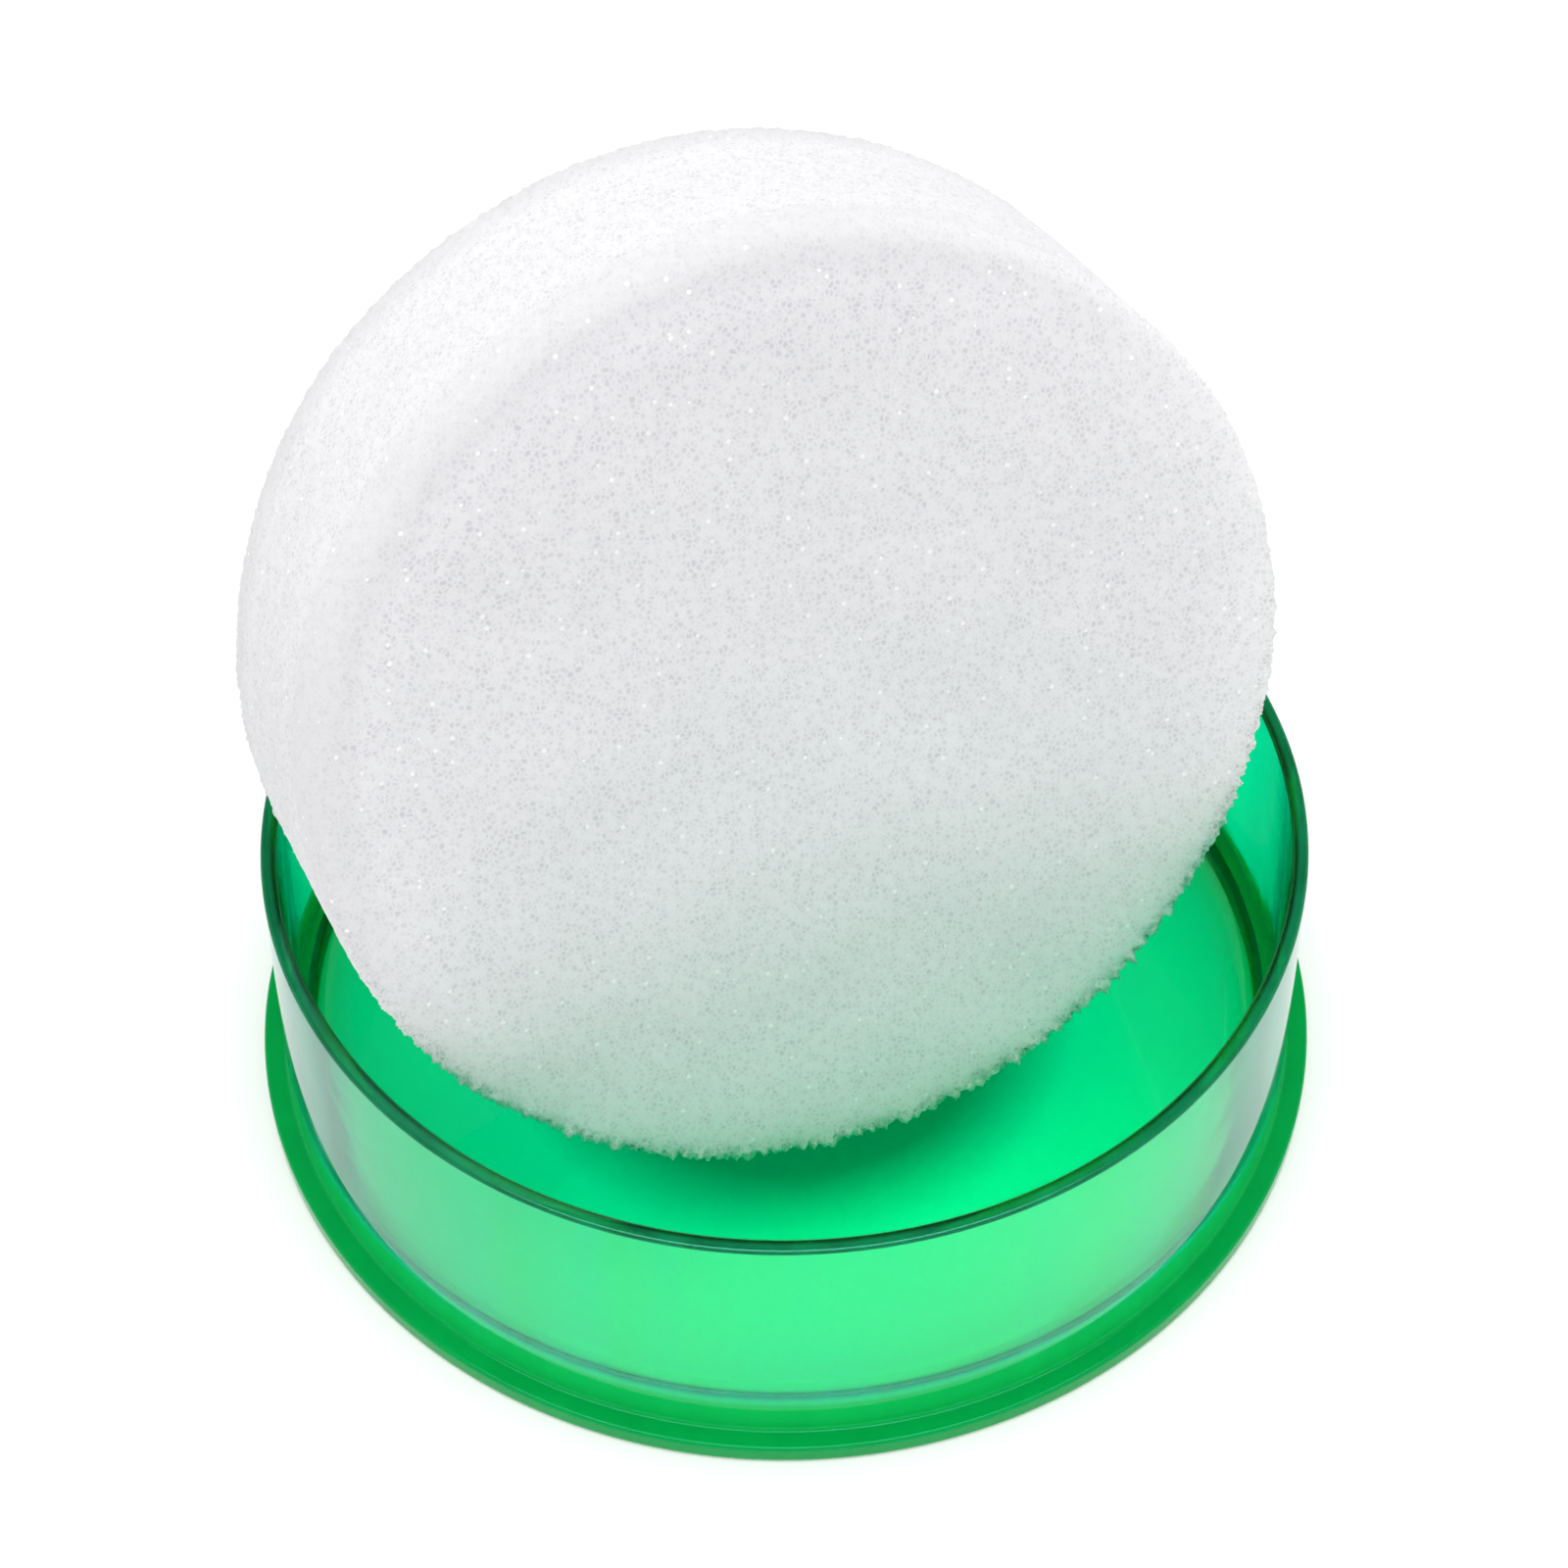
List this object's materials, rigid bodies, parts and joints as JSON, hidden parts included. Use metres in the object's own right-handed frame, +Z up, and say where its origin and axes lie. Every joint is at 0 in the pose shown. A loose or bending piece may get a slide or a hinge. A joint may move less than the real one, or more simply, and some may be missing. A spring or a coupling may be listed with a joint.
{
  "type": "fingertip moistener dish",
  "caption": "Round transparent green dish with a foot flange and a white open-cell foam disc standing in it, which lifts out. Wets fingertips for counting paper.",
  "frame": {"origin": "centre of the dish's underside, on the surface it stands on", "axes": "+Z up along the dish's axis, -Y towards the user, whom the foam disc's face looks at, and +X to the user's right"},
  "size_m": [0.085, 0.085, 0.0791],
  "materials": {
    "clear_green_plastic": "transparent green polystyrene, moulded and polished, slightly scuffed",
    "white_foam": "white open-cell polyurethane foam with fine pores, cut faces"
  },
  "bodies": {
    "dish": {"dish": "clear_green_plastic"},
    "sponge": {"sponge_disc": "white_foam"}
  },
  "joints": [
    {"name": "sponge_lift", "type": "slide", "parent": "dish", "child": "sponge", "axis": [0, 0, 1], "range_m": [0, 0.03]}
  ]
}
